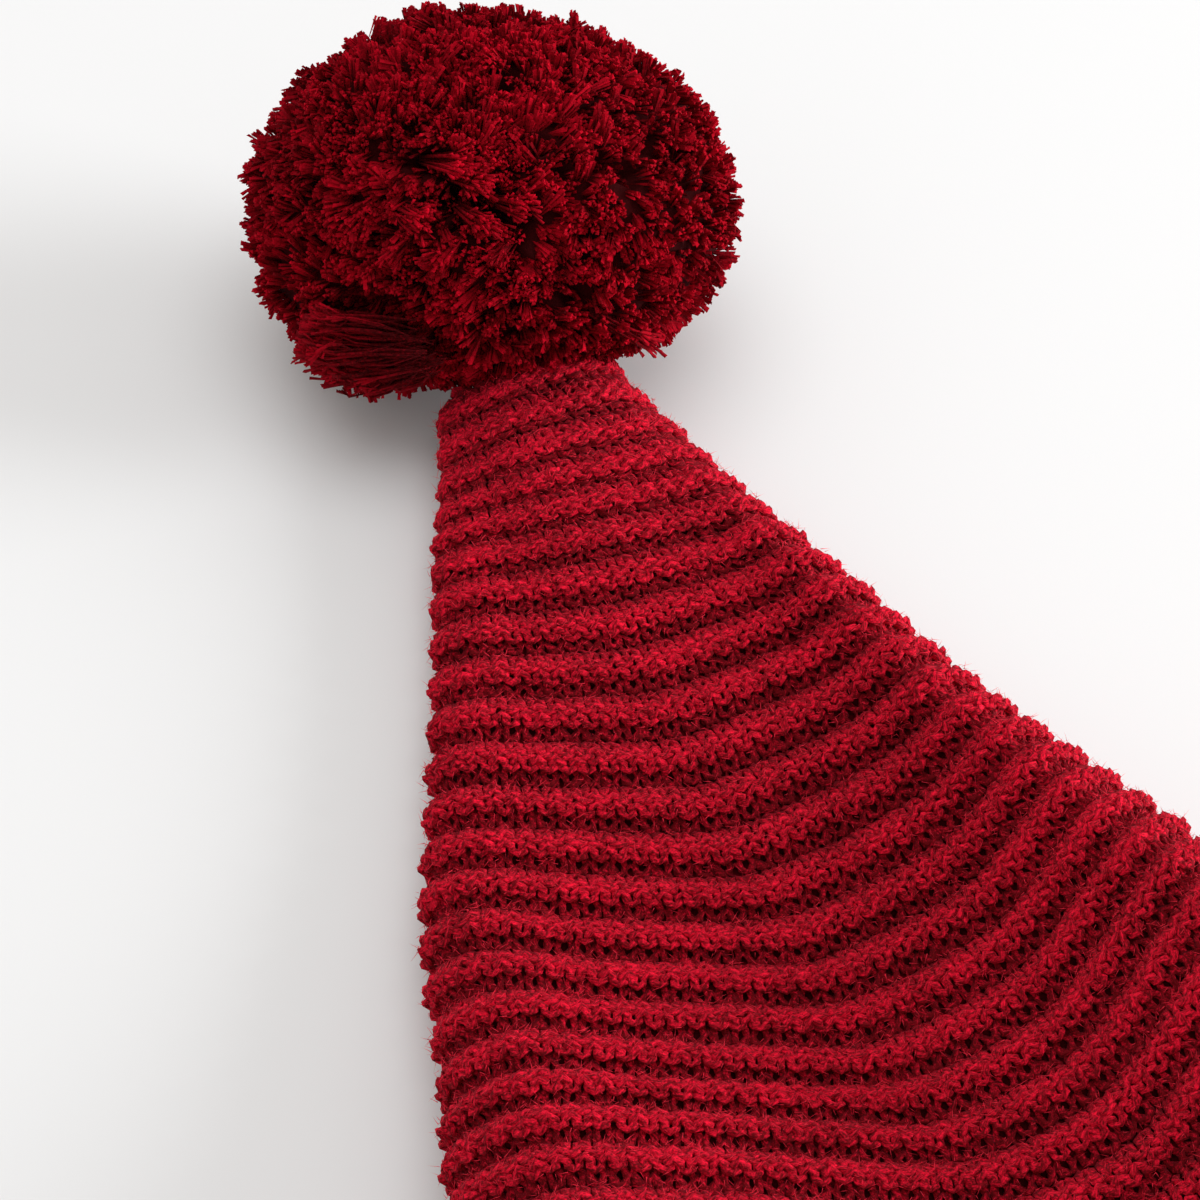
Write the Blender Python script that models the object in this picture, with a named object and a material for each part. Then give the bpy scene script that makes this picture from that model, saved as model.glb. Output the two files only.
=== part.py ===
"""Knitted hat with a pompom, lying on a table: a hollow welted bag, gathered shut at its tip and open at its brim,
and the trimmed yarn ball tied to the tip. Metres, +Z up, the tip towards +Y."""

import bmesh
import bpy
import numpy as np
from mathutils import Vector, noise

MM = 0.001

# The knit
WELT_DEPTH = 2.4
WALL = 5.0
RIDGE_HALF = 0.2
FIRST_WELT = -2
LAST_WELT = 27
TIP_AT = -3.3
GATHER_LENGTH = 1.35
INNER_FROM = -1.4
CREASE_SOFT = 3.0

# The yarn ball, its centre in the same millimetres as the sections, its sides along the hat's width, length and height
BALL_CENTRE = (4.3, 35.0, 31.0)
BALL_HALF = (42.4, 34.0, 31.5)
BALL_TURN = np.radians(-20.75)
LOCK_DEPTH = 3.0
LOCK_TAPER = 0.72
LOCK_LEAN = 2.0
SEAT_GAP = 0.4

# Sections of the knitted bag as it lies, one row for each: welt counted from the tip, where creases A and B of the
# centre strip lie along the hat, how far the welts sweep towards the tip per millimetre on the left and right of it,
# then across the hat and up: left fold and the top of its hump, the left panel's middle, creases A and B, the top
# of the right hump and the right fold. Millimetres.
SECTION_COLUMNS = (
    "welt along_a along_b sweep_left sweep_right fold_left_x fold_left_z hump_left_z middle_x middle_z "
    "a_x a_z b_x b_z hump_right_x hump_right_z fold_right_x fold_right_z"
).split()
SECTIONS = (
    (-3.5, 12.5, 12.5, 0.20, 0.10, -12.0, 10.5, 15.5, -2.5, 17.0, 2.0, 18.0, 8.0, 18.5, 10.5, 18.0, 15.5, 12.5),
    (-2.0, 5.0, 5.0, 0.20, 0.12, -13.5, 10.5, 15.5, -3.0, 17.5, 1.5, 18.5, 8.0, 19.3, 12.0, 18.5, 17.5, 12.5),
    (0.0, -10.0, -11.0, 0.24, 0.12, -17.8, 10.0, 14.5, -7.0, 16.8, -1.0, 18.5, 11.0, 19.0, 16.0, 18.0, 22.0, 12.0),
    (3.0, -29.5, -32.0, 0.33, 0.12, -24.2, 8.8, 12.8, -12.0, 14.2, -3.0, 16.0, 17.5, 17.0, 22.5, 17.5, 28.8, 11.0),
    (6.0, -55.8, -56.0, 0.37, 0.12, -32.3, 8.5, 13.0, -18.0, 13.3, -3.8, 14.0, 20.6, 16.3, 29.0, 19.5, 36.6, 12.0),
    (9.0, -84.6, -82.4, 0.39, 0.20, -41.8, 9.0, 13.6, -23.0, 13.4, -3.0, 13.3, 24.0, 17.0, 34.5, 22.5, 43.0, 14.5),
    (12.0, -112.7, -110.5, 0.39, 0.36, -51.0, 10.0, 16.8, -26.0, 14.8, -1.0, 14.3, 24.3, 18.8, 39.5, 29.0, 48.6, 20.0),
    (15.0, -140.0, -139.3, 0.37, 0.50, -57.6, 12.0, 23.0, -30.0, 21.0, 0.2, 19.0, 22.4, 24.0, 43.5, 36.5, 53.6, 26.5),
    (18.0, -167.0, -167.0, 0.40, 0.56, -64.2, 15.0, 29.5, -34.0, 30.0, 1.3, 26.5, 21.2, 31.0, 46.0, 45.2, 57.4, 33.0),
    (22.0, -203.0, -203.0, 0.38, 0.44, -72.0, 16.5, 33.0, -38.0, 34.5, 0.0, 33.5, 22.0, 37.5, 49.0, 50.0, 67.0, 32.0),
    (25.0, -230.0, -230.0, 0.34, 0.36, -79.0, 17.5, 35.0, -42.0, 37.5, -1.0, 38.0, 22.0, 41.0, 52.0, 51.0, 75.0, 29.0),
    (27.5, -252.0, -252.0, 0.30, 0.32, -81.0, 18.0, 36.5, -44.0, 39.5, -2.0, 40.5, 22.0, 43.0, 53.0, 51.5, 79.0, 28.0),
)
# Steps of a ring between its points, from the left contact with the table over the top and back along the table
RING_STEPS = (3, 4, 3, 4, 4, 4, 4, 3, 6)

# Swellings of the yarn ball: direction in the ball's own sides, share of the radius added, how wide it spreads
SWELLING_COLUMNS = "x y z share spread".split()
SWELLINGS = (
    (-0.72, -0.52, -0.46, 0.20, 0.30),
    (-0.95, 0.10, 0.10, 0.05, 0.45),
    (0.80, -0.30, 0.10, 0.05, 0.45),
    (0.55, 0.45, 0.60, -0.06, 0.50),
    (-0.30, 0.55, 0.70, 0.04, 0.40),
    (0.10, -0.50, 0.80, -0.05, 0.35),
)


def table_at(rows, where):
    """The row of a table at a place between its rows, on a smooth curve through them."""
    rows = np.array(rows)
    at = rows[:, 0]
    steps = np.diff(at)
    rise = np.diff(rows, axis=0) / steps[:, None]
    inner = (rise[:-1] * steps[1:, None] + rise[1:] * steps[:-1, None]) / (at[2:] - at[:-2])[:, None]
    slopes = np.vstack([rise[:1], inner, rise[-1:]])
    i = int(np.clip(np.searchsorted(at, where) - 1, 0, len(at) - 2))
    t = (where - at[i]) / steps[i]
    return (
        rows[i] * (2 * t**3 - 3 * t**2 + 1)
        + slopes[i] * steps[i] * (t**3 - 2 * t**2 + t)
        + rows[i + 1] * (3 * t**2 - 2 * t**3)
        + slopes[i + 1] * steps[i] * (t**3 - t**2)
    )


def closed_curve(points, steps):
    """Points on a smooth closed curve through the given ones, with so many steps after each."""
    points = np.array(points)
    count = len(points)
    found = []
    for i, number in enumerate(steps):
        before, start, end, after = (points[(i + k) % count] for k in (-1, 0, 1, 2))
        a = np.hypot(*(start - before)) ** 0.5
        b = np.hypot(*(end - start)) ** 0.5
        c = np.hypot(*(after - end)) ** 0.5
        leave = b * ((start - before) / a - (end - before) / (a + b) + (end - start) / b)
        arrive = b * ((end - start) / b - (after - start) / (b + c) + (after - end) / c)
        t = np.arange(number)[:, None] / number
        found.append(
            start * (2 * t**3 - 3 * t**2 + 1)
            + leave * (t**3 - 2 * t**2 + t)
            + end * (3 * t**2 - 2 * t**3)
            + arrive * (t**3 - t**2)
        )
    return np.vstack(found)


def soft_step(distance):
    """Zero on one side of a crease and the distance past it on the other, rounded where they meet."""
    return 0.5 * (distance + np.sqrt(distance**2 + CREASE_SOFT**2))


def ring(welt, inset=0.0, floor=0.0, gather=1.0):
    """One round of the bag: the section at this welt, drawn in by inset, resting at the height floor."""
    s = dict(zip(SECTION_COLUMNS, table_at(SECTIONS, welt)))
    left = s["hump_left_z"] / 2
    right = s["fold_right_x"] - s["hump_right_x"]
    draw = inset
    points = [
        (s["fold_left_x"] + left * 0.9 + draw * 0.5, floor),
        (s["fold_left_x"] + draw, s["fold_left_z"]),
        (s["fold_left_x"] + left * 0.85 + draw * 0.4, s["hump_left_z"] - draw),
        (s["middle_x"], s["middle_z"] - draw),
        (s["a_x"], s["a_z"] - draw),
        (s["b_x"], s["b_z"] - draw),
        (s["hump_right_x"] - draw * 0.4, s["hump_right_z"] - draw),
        (s["fold_right_x"] - draw, s["fold_right_z"]),
        (s["fold_right_x"] - right * 0.75 - draw * 0.5, floor),
    ]
    curve = closed_curve(points, RING_STEPS)
    x = curve[:, 0]
    z = np.maximum(curve[:, 1], floor)
    share = np.clip((x - s["a_x"]) / (s["b_x"] - s["a_x"]), 0, 1)
    y = s["along_a"] + (s["along_b"] - s["along_a"]) * share
    y = y + s["sweep_left"] * soft_step(s["a_x"] - x) + s["sweep_right"] * soft_step(x - s["b_x"])
    found = np.column_stack([x, y, z])
    centre = found.mean(axis=0)
    centre[1] = found[:, 1].mean()
    return centre + (found - centre) * (gather, 1.0, gather)


def gather_at(welt):
    """How far the last stitches are drawn together, 1 where they aren't."""
    past = max(0.0, (FIRST_WELT - welt) / GATHER_LENGTH)
    return float(np.sqrt(max(0.0, 1 - past**2)))


def outer_rows():
    """(welt, inset) of each round of the outer face, from the tip to the brim."""
    rows = [(TIP_AT + 0.15, 0.0), (TIP_AT + 0.45, 0.0), (FIRST_WELT - 0.5, WELT_DEPTH * 0.5)]
    for welt in range(FIRST_WELT, LAST_WELT + 1):
        rows.append((welt - RIDGE_HALF, 0.0))
        rows.append((welt + RIDGE_HALF, 0.0))
        rows.append((welt + 0.5, WELT_DEPTH if welt < LAST_WELT else WELT_DEPTH * 0.45))
    return rows


def inner_rows():
    """(welt, inset) of each round of the inner face, from the brim to the tip."""
    rows = [(LAST_WELT + 0.5, WALL * 0.85)]
    welt = LAST_WELT - 0.2
    while welt > INNER_FROM:
        rows.append((welt, WALL))
        welt -= 1.0
    return rows


def crown_rings():
    """All rounds of the bag, outer face first, as one list."""
    outer = [ring(welt, inset, 0.0, gather_at(welt)) for welt, inset in outer_rows()]
    inner = [ring(welt, inset, inset * 0.9) for welt, inset in inner_rows()]
    return outer, inner


def body_of(name, points, faces):
    """An object whose one closed mesh faces out."""
    mesh = bpy.data.meshes.new(name)
    mesh.from_pydata([Vector(p) for p in points], [], faces)
    made = bmesh.new()
    made.from_mesh(mesh)
    bmesh.ops.recalc_face_normals(made, faces=made.faces)
    bmesh.ops.triangulate(made, faces=made.faces)
    made.to_mesh(mesh)
    made.free()
    obj = bpy.data.objects.new(name, mesh)
    bpy.context.scene.collection.objects.link(obj)
    return obj


def make_crown_mesh():
    """Points and faces of the hollow bag: outer rounds, inner rounds, and a fan that shuts each at the tip."""
    outer, inner = crown_rings()
    rows = outer + inner
    columns = len(rows[0])
    points = np.vstack(rows)
    faces = []
    for i in range(len(rows) - 1):
        for j in range(columns):
            k = (j + 1) % columns
            faces.append((i * columns + j, i * columns + k, (i + 1) * columns + k, (i + 1) * columns + j))
    tip = outer[0].mean(axis=0)
    tip[1] += 0.5
    end = inner[-1].mean(axis=0)
    end[1] += 2.0
    points = np.vstack([points, tip, end])
    last = (len(rows) - 1) * columns
    for j in range(columns):
        k = (j + 1) % columns
        faces.append((k, j, len(points) - 2))
        faces.append((last + j, last + k, len(points) - 1))
    return points, faces


def ball_radius(direction):
    """How far the yarn ball reaches that way, along its own sides."""
    reach = 1 / np.sqrt(sum((d / h) ** 2 for d, h in zip(direction, BALL_HALF)))
    share = 1.0
    for row in SWELLINGS:
        s = dict(zip(SWELLING_COLUMNS, row))
        axis = np.array((s["x"], s["y"], s["z"]))
        near = 1 - np.dot(direction, axis / np.linalg.norm(axis))
        share += s["share"] * np.exp(-near / s["spread"] ** 2)
    return reach * share


def in_neck(point):
    """True inside the room that the gathered tip takes in the yarn ball."""
    x = (point[0] - 2.5) / (18.1 + SEAT_GAP)
    y = (point[1] + 10.0) / (23.7 + SEAT_GAP)
    z = (point[2] - 10.5) / (11.2 + SEAT_GAP)
    return abs(x) ** 3 + y**4 + abs(z) ** 3 < 1


def ball_point(direction, depth):
    """A point of the yarn ball in the hat's millimetres, depth below its outer form, clear of the tip and table."""
    turn = np.array(
        (
            (np.cos(BALL_TURN), -np.sin(BALL_TURN), 0),
            (np.sin(BALL_TURN), np.cos(BALL_TURN), 0),
            (0, 0, 1),
        )
    )
    reach = ball_radius(direction) - depth
    way = turn @ direction
    point = np.array(BALL_CENTRE) + way * reach
    while in_neck(point):
        reach -= 0.25
        point = np.array(BALL_CENTRE) + way * reach
    point[2] = max(point[2], 0.0)
    return point


def make_ball():
    """The yarn ball: blunt locks that stand on a head, each a fan of the head's faces drawn out and narrowed."""
    coarse = bmesh.new()
    bmesh.ops.create_icosphere(coarse, subdivisions=3, radius=1.0)
    roots = [v.co.normalized() for v in coarse.verts]
    coarse.free()
    head = bmesh.new()
    bmesh.ops.create_icosphere(head, subdivisions=4, radius=1.0)
    head.verts.ensure_lookup_table()
    tops = [v for v in head.verts if min((v.co.normalized() - r).length for r in roots) < 1e-4]
    fans = [(v, list(v.link_faces)) for v in tops]
    lock_of = {}
    for number, (middle, fan) in enumerate(fans):
        grown = bmesh.ops.extrude_face_region(head, geom=fan)
        fresh = [g for g in grown["geom"] if isinstance(g, bmesh.types.BMVert)]
        bmesh.ops.delete(head, geom=fan, context="FACES_ONLY")
        if middle.is_valid and not middle.link_faces:
            head.verts.remove(middle)
        centre = sum((v.co for v in fresh), Vector()) / len(fresh)
        for v in fresh:
            lock_of[v] = (number, centre.normalized())
    head.verts.ensure_lookup_table()
    for v in head.verts:
        way = v.co.normalized()
        if v in lock_of:
            number, axis = lock_of[v]
            lean = Vector(noise.noise_vector(Vector((number * 1.7, 3.1, 0.4)))) * LOCK_LEAN * 0.05
            way = (axis + (way - axis) * LOCK_TAPER + lean).normalized()
            depth = 1.6 * abs(noise.noise(Vector((number * 0.91, 0.3, 7.7))))
        else:
            depth = LOCK_DEPTH
        v.co = ball_point(np.array(way), depth)
    return head


def finish(obj, colour, roughness):
    """Scale to metres is done on the mesh: here the object gets its material and its shading."""
    material = bpy.data.materials.new(obj.name + "_wool")
    material.use_nodes = True
    shader = material.node_tree.nodes["Principled BSDF"]
    shader.inputs["Base Color"].default_value = (*colour, 1.0)
    shader.inputs["Roughness"].default_value = roughness
    shader.inputs["Sheen Weight"].default_value = 0.4
    obj.data.materials.append(material)
    for face in obj.data.polygons:
        face.use_smooth = True


def main():
    for old in list(bpy.data.objects):
        bpy.data.objects.remove(old, do_unlink=True)
    crown_points, crown_faces = make_crown_mesh()
    ball = make_ball()
    ball_points = np.array([tuple(v.co) for v in ball.verts])
    both = np.vstack([crown_points, ball_points])
    low, high = both.min(axis=0), both.max(axis=0)
    shift = np.array(((low[0] + high[0]) / 2, (low[1] + high[1]) / 2, low[2]))
    print("shift", np.round(shift, 4), "size", np.round(high - low, 2))
    crown = body_of("crown", (crown_points - shift) * MM, crown_faces)
    for v, point in zip(ball.verts, (ball_points - shift) * MM):
        v.co = point
    bmesh.ops.triangulate(ball, faces=ball.faces)
    bmesh.ops.recalc_face_normals(ball, faces=ball.faces)
    mesh = bpy.data.meshes.new("pompom")
    ball.to_mesh(mesh)
    ball.free()
    pompom = bpy.data.objects.new("pompom", mesh)
    bpy.context.scene.collection.objects.link(pompom)
    finish(crown, (0.28, 0.008, 0.018), 0.85)
    finish(pompom, (0.20, 0.004, 0.010), 0.9)


main()
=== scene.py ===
import bmesh
import bpy
import numpy as np
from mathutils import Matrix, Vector


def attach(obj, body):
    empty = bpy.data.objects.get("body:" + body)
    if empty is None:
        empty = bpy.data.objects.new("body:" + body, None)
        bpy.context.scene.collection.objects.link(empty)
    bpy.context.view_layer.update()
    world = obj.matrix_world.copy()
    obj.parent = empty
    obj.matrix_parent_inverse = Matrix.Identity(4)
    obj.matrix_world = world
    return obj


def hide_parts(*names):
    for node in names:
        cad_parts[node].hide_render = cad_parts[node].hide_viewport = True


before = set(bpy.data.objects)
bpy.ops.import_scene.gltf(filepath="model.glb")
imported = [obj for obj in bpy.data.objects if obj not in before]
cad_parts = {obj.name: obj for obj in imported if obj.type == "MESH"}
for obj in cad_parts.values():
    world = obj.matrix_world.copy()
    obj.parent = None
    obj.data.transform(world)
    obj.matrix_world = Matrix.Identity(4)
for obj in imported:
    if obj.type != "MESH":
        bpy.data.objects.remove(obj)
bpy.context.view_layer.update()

MM = 0.001

# Seeds of the random draws
KNIT_SEED = 11
PILE_SEED = 23
STRAND_SEED = 31
FIBRE_SEED = 41

# The hat's own millimetres lie this far from the frame's
SHIFT = np.array((-1.1234, -90.951, 0.0))

# The knit, in millimetres and in shares of a welt or a stitch
STITCH_WIDTH = 2.95
# Depth of the valleys between welts, millimetres: welt, depth
VALLEYS = ((-3.0, 0.6), (0.0, 1.1), (3.0, 1.8), (6.0, 2.9), (9.0, 3.2), (27.0, 3.2))
# How far the left side stands out beyond the plain bag, millimetres: welt, width
LEFT_OUT = (
    (-3.0, 0.0), (-1.0, 0.6), (2.0, 1.1), (5.0, 1.3), (8.0, 1.1), (11.0, 0.8), (14.0, 0.2), (17.0, 0.0),
)
WELT_ROLL = 0.9
VALLEY_SHARPNESS = 2.2
YARN_RADIUS = 0.60
LOOP_SPREAD = 0.19
LOOP_REACH = 0.82
# How far each of a welt's rounds stands in and out along its loops, millimetres, and how full its yarn is
LOOP_DEPTHS = (0.50, 0.30, 0.32, 0.72, 0.52)
FULLNESS = (1.0, 1.12, 1.12, 1.06, 1.0)
# How uneven the stitches are: shares of a stitch, millimetres for the lift, shares of the yarn's thickness
UNEVEN_WIDE = (0.05, 0.008)
UNEVEN_TALL = 0.06
UNEVEN_LIFT = (0.10, 0.03)
UNEVEN_LEAN = 0.05
UNEVEN_THICK = (0.09, 0.12)
# Steps of a stitch and sides of its yarn, by kind of round, with fewer steps under the hat
PURL_STEPS = 10
KNIT_STEPS = 6
UNDER_STEPS = 5
PURL_SIDES = 4
KNIT_SIDES = 3
# How low the yarn lies at least, millimetres above the table
YARN_LOWEST = 0.03
SURFACE_INSET = 0.75
# Rounds of a welt, their places along it in shares of a welt, and which of them are purl
WELT_ROUNDS = 5
ROUND_PLACES = (-0.34, -0.15, 0.07, 0.28, 0.46)
PURL_ROUNDS = (1, 2, 3)
FIRST_WELT = -2
LAST_WELT = 27
GRID_STEPS = 16
GRID_COLUMNS = 480
TIP_AT = -3.3
GATHER_LENGTH = 1.35
CREASE_SOFT = 3.0
WALL = 5.0
BACKING_DEPTH = 0.75
BACKING_COLUMNS = 96
# Pieces of the knit: name, first and last welt
CROWN_PIECES = (("tip", -3, 8), ("upper", 9, 15), ("middle", 16, 20), ("lower", 21, 24), ("brim", 25, 27))

# Loose fibres on the welts: their number, lengths and thicknesses in millimetres
FIBRE_COUNT = 15000
FIBRE_LENGTHS = (0.8, 2.0)
FIBRE_RADII = (0.04, 0.075)

# The view: what it looks at on the table, the way back to the eye, its distance, its lens and its film in
# millimetres, and the width of the frame that places are given in
VIEW_TARGET = (0.37, -30.08, 0.0)
VIEW_BACK = (-0.2416, -0.6378, 0.7314)
VIEW_DISTANCE = 595.0
VIEW_LENS = 111.0
VIEW_FILM = 36.0
FRAME_SIZE = 1200

# Colours of the wool, where it is lit and where it is deep, the deep colours also standing for painted shade
# in the welts' valleys and down in the pompom's pile, and how much its surface fibres catch the light
KNIT_COLOURS = ((1.0, 0.006, 0.038), (0.14, 0.0005, 0.0035))
KNIT_SHEEN = 0.11
FIBRE_COLOURS = ((1.0, 0.045, 0.08), (0.85, 0.015, 0.04))
FIBRE_SHEEN = 0.1
# The inside's colours are painted shade: the wool under the yarn and inside the hat, painted much darker
# than the yarn
INSIDE_SHADE_COLOURS = ((0.16, 0.0014, 0.006), (0.03, 0.0003, 0.001))
POMPOM_COLOURS = ((0.55, 0.0006, 0.013), (0.03, 0.0001, 0.0006))
# The core's colours are painted shade: the thick of the pile, painted near black
CORE_SHADE_COLOURS = ((0.05, 0.0001, 0.001), (0.01, 0.0001, 0.0003))

# The room: its light all round, the table, and lamps with their places and sizes in metres and their power
ROOM_COLOUR = (1.0, 0.965, 0.94, 1.0)
ROOM_STRENGTH = 0.65
TABLE_COLOUR = (0.775, 0.775, 0.775)
TABLE_SIZE = 6.0
LAMP_COLOUR = (0.97, 1.0, 1.02)
LAMPS = (
    ("window", (2.72, -0.99, 0.78), 1.7, 112.0),
    ("ceiling", (0.0, 0.0, 2.80), 3.0, 33.0),
)

# The pompom: a ball of tufts, each of some cut ends of yarn, in millimetres
BALL_CENTRE = np.array((4.3, 35.0, 31.0))
BALL_HALF = np.array((42.4, 34.0, 31.5))
BALL_TURN = np.radians(-20.75)
BALL_MEAN = 37.0
TUFT_COUNT = 4700
CUT_ENDS = 10
TUFT_SIZES = (0.95, 1.7)
CUT_RADII = (0.24, 0.46)
STRAND_RADII = (0.16, 0.34)
FRAY_RADII = (0.22, 0.42)
PILE_SHORT = 2.1
# How bright the yarn is painted from its root to its end, painted shade down in the pile and full colour at
# its end: on a cut end, along a long strand, and on a frayed end
CUT_LIT = (0.1, 1.0, 1.0, 1.0)
STRAND_LIT = (0.1, 0.25, 0.6, 1.15)
FRAY_LIT = (0.3, 1.15, 1.15, 1.15)
# Places of the rings along a long strand, and how thick it is at each
STRAND_RINGS = (0.0, 0.3, 0.65, 1.0)
STRAND_THICK = (0.6, 1.0, 1.1, 1.7)

# Cross sections of the bag as it lies, tip first, in millimetres
SECTION_COLUMNS = (
    "welt along_a along_b sweep_left sweep_right fold_left_x fold_left_z hump_left_z middle_x middle_z "
    "a_x a_z b_x b_z hump_right_x hump_right_z fold_right_x fold_right_z"
).split()
SECTIONS = (
    (-3.5, 12.5, 12.5, 0.20, 0.10, -12.0, 10.5, 15.5, -2.5, 17.0,
     2.0, 18.0, 8.0, 18.5, 10.5, 18.0, 15.5, 12.5),
    (-2.0, 5.0, 5.0, 0.20, 0.12, -13.5, 10.5, 15.5, -3.0, 17.5,
     1.5, 18.5, 8.0, 19.3, 12.0, 18.5, 17.5, 12.5),
    (0.0, -10.0, -11.0, 0.24, 0.12, -17.8, 10.0, 14.5, -7.0, 16.8,
     -1.0, 18.5, 11.0, 19.0, 16.0, 18.0, 22.0, 12.0),
    (3.0, -29.5, -32.0, 0.33, 0.12, -24.2, 8.8, 12.8, -12.0, 14.2,
     -3.0, 16.0, 17.5, 17.0, 22.5, 17.5, 28.8, 11.0),
    (6.0, -55.8, -56.0, 0.37, 0.12, -32.3, 8.5, 13.0, -18.0, 13.3,
     -3.8, 14.0, 20.6, 16.3, 29.0, 19.5, 36.6, 12.0),
    (9.0, -84.6, -82.4, 0.39, 0.20, -41.8, 9.0, 13.6, -23.0, 13.4,
     -3.0, 13.3, 24.0, 17.0, 34.5, 22.5, 43.0, 14.5),
    (12.0, -112.7, -110.5, 0.39, 0.36, -51.0, 10.0, 16.8, -26.0, 14.8,
     -1.0, 14.3, 24.3, 18.8, 39.5, 29.0, 48.6, 20.0),
    (15.0, -140.0, -139.3, 0.37, 0.50, -57.6, 12.0, 23.0, -30.0, 21.0,
     0.2, 19.0, 22.4, 24.0, 43.5, 36.5, 53.6, 26.5),
    (18.0, -167.0, -167.0, 0.40, 0.56, -64.2, 15.0, 29.5, -34.0, 30.0,
     1.3, 26.5, 21.2, 31.0, 46.0, 45.2, 57.4, 33.0),
    (22.0, -203.0, -203.0, 0.38, 0.44, -72.0, 16.5, 33.0, -38.0, 34.5,
     0.0, 33.5, 22.0, 37.5, 49.0, 50.0, 67.0, 32.0),
    (25.0, -230.0, -230.0, 0.34, 0.36, -79.0, 17.5, 35.0, -42.0, 37.5,
     -1.0, 38.0, 22.0, 41.0, 52.0, 51.0, 75.0, 29.0),
    (27.5, -252.0, -252.0, 0.30, 0.32, -81.0, 18.0, 36.5, -44.0, 39.5,
     -2.0, 40.5, 22.0, 43.0, 53.0, 51.5, 79.0, 28.0),
)
RING_STEPS = (3, 4, 3, 4, 4, 4, 4, 3, 6)

# Swellings of the ball: their direction, how far they stand out as a share of its size, and their spread
SWELLING_COLUMNS = "x y z share spread".split()
SWELLINGS = (
    (-0.72, -0.52, -0.46, 0.20, 0.30),
    (-0.95, 0.10, 0.10, 0.05, 0.45),
    (0.80, -0.30, 0.10, 0.05, 0.45),
    (0.55, 0.45, 0.60, -0.06, 0.50),
    (-0.30, 0.55, 0.70, 0.04, 0.40),
    (0.10, -0.50, 0.80, -0.05, 0.35),
)

# Partings of the pompom where the view shows them: place in its 1200 by 1200 frame, size and depth in
# millimetres, how the ends are combed to the right and down, how they open around it, how bare their sides
# are, and how much longer than wide it is
PARTING_COLUMNS = "across down size deep comb_right comb_down open bare stretch".split()
PARTINGS = (
    (408, 148, 2.8, 9.0, 0.15, 0.04, 0.04, 0.20, 2.4),
    (446, 166, 2.2, 5.0, 0.20, 0.08, 0.04, 0.20, 1.8),
    (478, 203, 2.8, 9.0, 0.15, 0.05, 0.05, 0.20, 2.8),
    (425, 203, 2.0, 5.0, 0.15, 0.06, 0.04, 0.20, 2.0),
    (450, 236, 1.8, 5.0, -0.10, 0.12, 0.04, 0.20, 1.8),
    (528, 218, 2.0, 5.0, -0.08, 0.10, 0.04, 0.20, 1.8),
    (510, 245, 2.0, 5.0, -0.08, 0.12, 0.04, 0.20, 1.8),
    (549, 135, 1.9, 8.0, 0.02, 0.02, 0.05, 0.15, 1.0),
    (572, 170, 1.5, 4.0, 0.05, 0.02, 0.04, 0.15, 1.3),
    (512, 62, 1.7, 7.0, 0.02, -0.14, 0.05, 0.15, 2.6),
    (570, 74, 1.5, 6.0, 0.02, -0.12, 0.05, 0.15, 2.6),
    (476, 96, 1.8, 4.0, 0.06, 0.05, 0.04, 0.15, 2.4),
    (607, 157, 1.7, 4.0, 0.05, 0.02, 0.04, 0.15, 1.6),
    (640, 170, 1.7, 4.0, 0.03, 0.05, 0.04, 0.15, 1.8),
    (584, 312, 1.8, 4.0, 0.05, 0.08, 0.04, 0.15, 1.6),
    (350, 250, 1.8, 3.0, -0.08, 0.06, 0.04, 0.15, 1.6),
    (372, 34, 1.8, 4.0, -0.05, -0.08, 0.04, 0.15, 1.6),
    (372, 356, 9.0, 3.5, -0.15, 0.06, 0.00, 0.05, 1.6),
)

# Cracks all over the pile: how close together, how wide, how deep in millimetres, and their seed
CRACKS = ((6.0, 0.22, 1.7, 51), (9.0, 0.25, 1.3, 52), (15.0, 0.30, 0.8, 53))

# Where the pile stands out or lies in more than the ball: places in the same frame, millimetres and spread
RISES = (
    (706, 150, 1.2, 0.60),
    (610, 30, 1.6, 0.40),
    (692, 325, 1.6, 0.35),
    (266, 292, -5.2, 0.40),
    (286, 90, -2.6, 0.32),
    (372, 405, 0.9, 0.22),
    (440, 5, 1.2, 0.25),
    (686, 82, 1.8, 0.15),
    (580, 20, 1.4, 0.16),
    (330, 48, 1.9, 0.15),
    (236, 180, 1.0, 0.15),
    (262, 276, -2.6, 0.14),
    (248, 240, -1.0, 0.12),
    (732, 199, -1.2, 0.12),
    (483, 8, -1.8, 0.10),
)

# Bundles of long strands: places of their roots and tips in the same frame, how far the tips spread there,
# their number, and how deep the roots and the tips lie in the pile, millimetres
BUNDLE_COLUMNS = "root_across root_down tip_across tip_down spread number root_deep tip_deep".split()
BUNDLES = (
    (396, 146, 468, 168, 8, 24, 7.0, -0.5),
    (420, 163, 484, 184, 7, 18, 6.0, -0.5),
    (365, 205, 416, 223, 8, 20, 5.0, -0.5),
    (445, 205, 488, 228, 8, 20, 6.0, -0.3),
    (490, 200, 526, 210, 6, 14, 5.0, -0.3),
    (462, 238, 429, 268, 7, 16, 5.0, -0.3),
    (528, 236, 497, 262, 7, 16, 5.0, -0.3),
    (400, 240, 372, 268, 6, 12, 4.0, -0.2),
    (600, 322, 652, 344, 4, 14, 2.0, -0.6),
)

# Frayed ends of each long strand
FRAYS = 4

# Fans of strands that end at the pompom's outline: places of roots and tips in the same frame, how far
# towards the eye each lies from the ball's middle in millimetres, how far the tips spread in the frame,
# and their number
FAN_COLUMNS = "root_across root_down root_near tip_across tip_down tip_near spread number".split()
FANS = (
    (438, 336, 22.0, 314, 322, 12.0, 7, 80),
    (442, 345, 21.0, 314, 341, 11.0, 7, 80),
    (446, 352, 20.0, 318, 356, 10.0, 7, 90),
    (450, 358, 19.0, 334, 368, 9.0, 7, 90),
    (456, 362, 19.0, 362, 378, 9.0, 7, 80),
)


# The surface that the rounds lie on

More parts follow.
